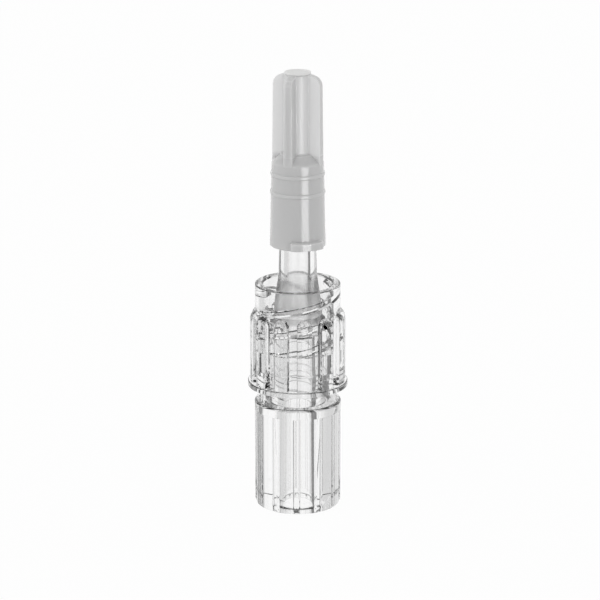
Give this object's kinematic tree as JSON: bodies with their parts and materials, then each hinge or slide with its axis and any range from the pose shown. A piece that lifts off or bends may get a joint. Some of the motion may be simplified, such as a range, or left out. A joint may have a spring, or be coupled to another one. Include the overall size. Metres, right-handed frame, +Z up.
{
  "type": "luer lock connector",
  "caption": "Clear male luer connector with a ribbed tube socket, a loose threaded lock collar and a translucent grey vented cap pushed over the cone.",
  "frame": {"origin": "centre of the tube socket's open end face, on the common axis", "axes": "+Z up the common axis from the tube socket to the cap's vent, -Y towards the viewer of the picture"},
  "size_m": [0.0116, 0.0116, 0.0514],
  "materials": {
    "clear_plastic": "polished clear moulding",
    "grey_plastic": "satin translucent moulding",
    "white_membrane": "matt porous"
  },
  "bodies": {
    "body": {"luer_body": "clear_plastic"},
    "collar": {"lock_collar": "clear_plastic"},
    "cap": {"vent_cap": "grey_plastic", "vent_filter": "white_membrane"}
  },
  "joints": [
    {"name": "collar_turn", "type": "hinge", "parent": "body", "child": "collar", "pos_m": [0, 0, 0.0145], "axis": [0, 0, 1], "continuous": true},
    {"name": "cap_pull", "type": "slide", "parent": "body", "child": "cap", "axis": [0, 0, 1], "range_m": [0, 0.012]}
  ]
}
